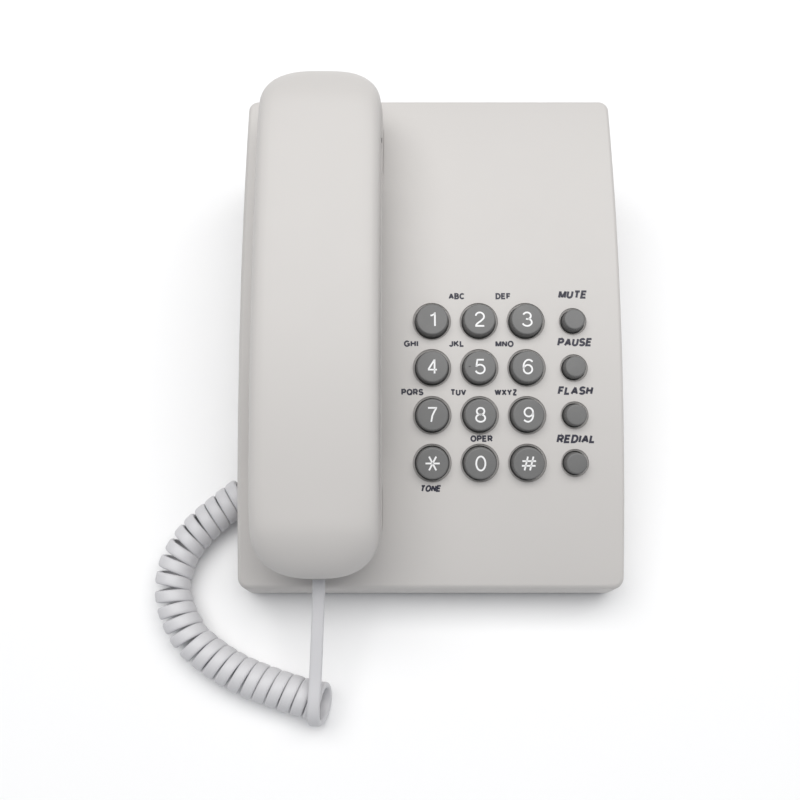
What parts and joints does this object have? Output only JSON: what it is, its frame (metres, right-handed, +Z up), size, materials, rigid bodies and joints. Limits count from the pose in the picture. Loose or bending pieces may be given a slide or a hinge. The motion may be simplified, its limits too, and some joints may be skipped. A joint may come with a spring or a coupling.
{
  "type": "corded desk telephone",
  "caption": "Wedge-shaped desk telephone with a curved face, round push buttons, a cradle along one side and a handset on a curly cord.",
  "frame": {"origin": "on the surface the feet stand on, under the middle of the body", "axes": "+X to the user's right across the face, +Y toward the rear (the high end), +Z up"},
  "size_m": [0.1887, 0.2496, 0.0946],
  "materials": {
    "housing_plastic": "fine satin grain, warm light grey ABS",
    "key_plastic": "smooth satin mid-grey plastic with white printed legends",
    "cord_plastic": "soft satin light grey flexible vinyl",
    "plug_plastic": "clear polycarbonate",
    "socket_plastic": "black moulded nylon",
    "foot_rubber": "matt black rubber",
    "mat_rubber": "translucent grey silicone rubber",
    "circuit_board": "green solder mask",
    "capsule_metal": "pressed aluminium can",
    "plain_steel": "bright zinc-plated steel"
  },
  "bodies": {
    "base": {"upper_cover": "housing_plastic", "lower_cover": "housing_plastic", "foot_front_left": "foot_rubber", "foot_rear_left": "foot_rubber", "foot_front_right": "foot_rubber", "foot_rear_right": "foot_rubber", "cover_screw_front_left": "plain_steel", "cover_screw_rear_left": "plain_steel", "cover_screw_front_right": "plain_steel", "cover_screw_rear_right": "plain_steel", "main_board": "circuit_board", "keypad_mat": "mat_rubber", "ballast_plate": "plain_steel", "ringer": "capsule_metal", "hook_board": "circuit_board", "hook_contact": "socket_plastic", "hook_spring": "plain_steel", "line_jack": "socket_plastic", "base_cord_jack": "socket_plastic", "base_cord_plug": "plug_plastic", "ringer_switch_body": "socket_plastic", "mode_switch_body": "socket_plastic", "handset_cord_tail": "cord_plastic", "handset_cord_coil": "cord_plastic", "handset_cord_lead": "cord_plastic"},
    "handset": {"handset_back_shell": "housing_plastic", "handset_front_shell": "housing_plastic", "receiver": "capsule_metal", "microphone": "capsule_metal", "handset_weight": "plain_steel", "handset_jack": "socket_plastic", "handset_cord_plug": "plug_plastic", "handset_screw_front": "plain_steel", "handset_screw_rear": "plain_steel"},
    "hook_plunger": {"hook_plunger": "key_plastic"},
    "ringer_switch_knob": {"ringer_switch_knob": "key_plastic"},
    "mode_switch_knob": {"mode_switch_knob": "key_plastic"},
    "key_1": {"key_1": "key_plastic"},
    "key_2": {"key_2": "key_plastic"},
    "key_3": {"key_3": "key_plastic"},
    "key_mute": {"key_mute": "key_plastic"},
    "key_4": {"key_4": "key_plastic"},
    "key_5": {"key_5": "key_plastic"},
    "key_6": {"key_6": "key_plastic"},
    "key_pause": {"key_pause": "key_plastic"},
    "key_7": {"key_7": "key_plastic"},
    "key_8": {"key_8": "key_plastic"},
    "key_9": {"key_9": "key_plastic"},
    "key_flash": {"key_flash": "key_plastic"},
    "key_star": {"key_star": "key_plastic"},
    "key_0": {"key_0": "key_plastic"},
    "key_hash": {"key_hash": "key_plastic"},
    "key_redial": {"key_redial": "key_plastic"}
  },
  "joints": [
    {"name": "handset_lift", "type": "slide", "parent": "base", "child": "handset", "axis": [0, -0.1961, 0.9806], "range_m": [0, 0.09]},
    {"name": "hook_plunger_rise", "type": "slide", "parent": "base", "child": "hook_plunger", "axis": [0, -0.0495, 0.9988], "range_m": [0, 0.004], "deforming": ["hook_spring"]},
    {"name": "key_1_press", "type": "slide", "parent": "base", "child": "key_1", "axis": [0, -0.1896, 0.9819], "range_m": [-0.0015, 0], "stiffness_N_per_m": 350, "springref_m": 0.001, "deforming": ["keypad_mat"]},
    {"name": "key_2_press", "type": "slide", "parent": "base", "child": "key_2", "axis": [0, -0.1896, 0.9819], "range_m": [-0.0015, 0], "stiffness_N_per_m": 350, "springref_m": 0.001, "deforming": ["keypad_mat"]},
    {"name": "key_3_press", "type": "slide", "parent": "base", "child": "key_3", "axis": [0, -0.1896, 0.9819], "range_m": [-0.0015, 0], "stiffness_N_per_m": 350, "springref_m": 0.001, "deforming": ["keypad_mat"]},
    {"name": "key_mute_press", "type": "slide", "parent": "base", "child": "key_mute", "axis": [0, -0.1896, 0.9819], "range_m": [-0.0015, 0], "stiffness_N_per_m": 350, "springref_m": 0.001, "deforming": ["keypad_mat"]},
    {"name": "key_4_press", "type": "slide", "parent": "base", "child": "key_4", "axis": [0, -0.2248, 0.9744], "range_m": [-0.0015, 0], "stiffness_N_per_m": 350, "springref_m": 0.001, "deforming": ["keypad_mat"]},
    {"name": "key_5_press", "type": "slide", "parent": "base", "child": "key_5", "axis": [0, -0.2248, 0.9744], "range_m": [-0.0015, 0], "stiffness_N_per_m": 350, "springref_m": 0.001, "deforming": ["keypad_mat"]},
    {"name": "key_6_press", "type": "slide", "parent": "base", "child": "key_6", "axis": [0, -0.2248, 0.9744], "range_m": [-0.0015, 0], "stiffness_N_per_m": 350, "springref_m": 0.001, "deforming": ["keypad_mat"]},
    {"name": "key_pause_press", "type": "slide", "parent": "base", "child": "key_pause", "axis": [0, -0.2248, 0.9744], "range_m": [-0.0015, 0], "stiffness_N_per_m": 350, "springref_m": 0.001, "deforming": ["keypad_mat"]},
    {"name": "key_7_press", "type": "slide", "parent": "base", "child": "key_7", "axis": [0, -0.2597, 0.9657], "range_m": [-0.0015, 0], "stiffness_N_per_m": 350, "springref_m": 0.001, "deforming": ["keypad_mat"]},
    {"name": "key_8_press", "type": "slide", "parent": "base", "child": "key_8", "axis": [0, -0.2597, 0.9657], "range_m": [-0.0015, 0], "stiffness_N_per_m": 350, "springref_m": 0.001, "deforming": ["keypad_mat"]},
    {"name": "key_9_press", "type": "slide", "parent": "base", "child": "key_9", "axis": [0, -0.2597, 0.9657], "range_m": [-0.0015, 0], "stiffness_N_per_m": 350, "springref_m": 0.001, "deforming": ["keypad_mat"]},
    {"name": "key_flash_press", "type": "slide", "parent": "base", "child": "key_flash", "axis": [0, -0.2597, 0.9657], "range_m": [-0.0015, 0], "stiffness_N_per_m": 350, "springref_m": 0.001, "deforming": ["keypad_mat"]},
    {"name": "key_star_press", "type": "slide", "parent": "base", "child": "key_star", "axis": [0, -0.2942, 0.9557], "range_m": [-0.0015, 0], "stiffness_N_per_m": 350, "springref_m": 0.001, "deforming": ["keypad_mat"]},
    {"name": "key_0_press", "type": "slide", "parent": "base", "child": "key_0", "axis": [0, -0.2942, 0.9557], "range_m": [-0.0015, 0], "stiffness_N_per_m": 350, "springref_m": 0.001, "deforming": ["keypad_mat"]},
    {"name": "key_hash_press", "type": "slide", "parent": "base", "child": "key_hash", "axis": [0, -0.2942, 0.9557], "range_m": [-0.0015, 0], "stiffness_N_per_m": 350, "springref_m": 0.001, "deforming": ["keypad_mat"]},
    {"name": "key_redial_press", "type": "slide", "parent": "base", "child": "key_redial", "axis": [0, -0.2942, 0.9557], "range_m": [-0.0015, 0], "stiffness_N_per_m": 350, "springref_m": 0.001, "deforming": ["keypad_mat"]},
    {"name": "ringer_switch_slide", "type": "slide", "parent": "base", "child": "ringer_switch_knob", "axis": [0, 1, 0], "range_m": [-0.003, 0.003]},
    {"name": "mode_switch_slide", "type": "slide", "parent": "base", "child": "mode_switch_knob", "axis": [-1, 0, 0], "range_m": [-0.003, 0]}
  ],
  "couplings": [
    {"joint": "hook_plunger_rise", "follows": "handset_lift", "ratio": 0.0444}
  ]
}
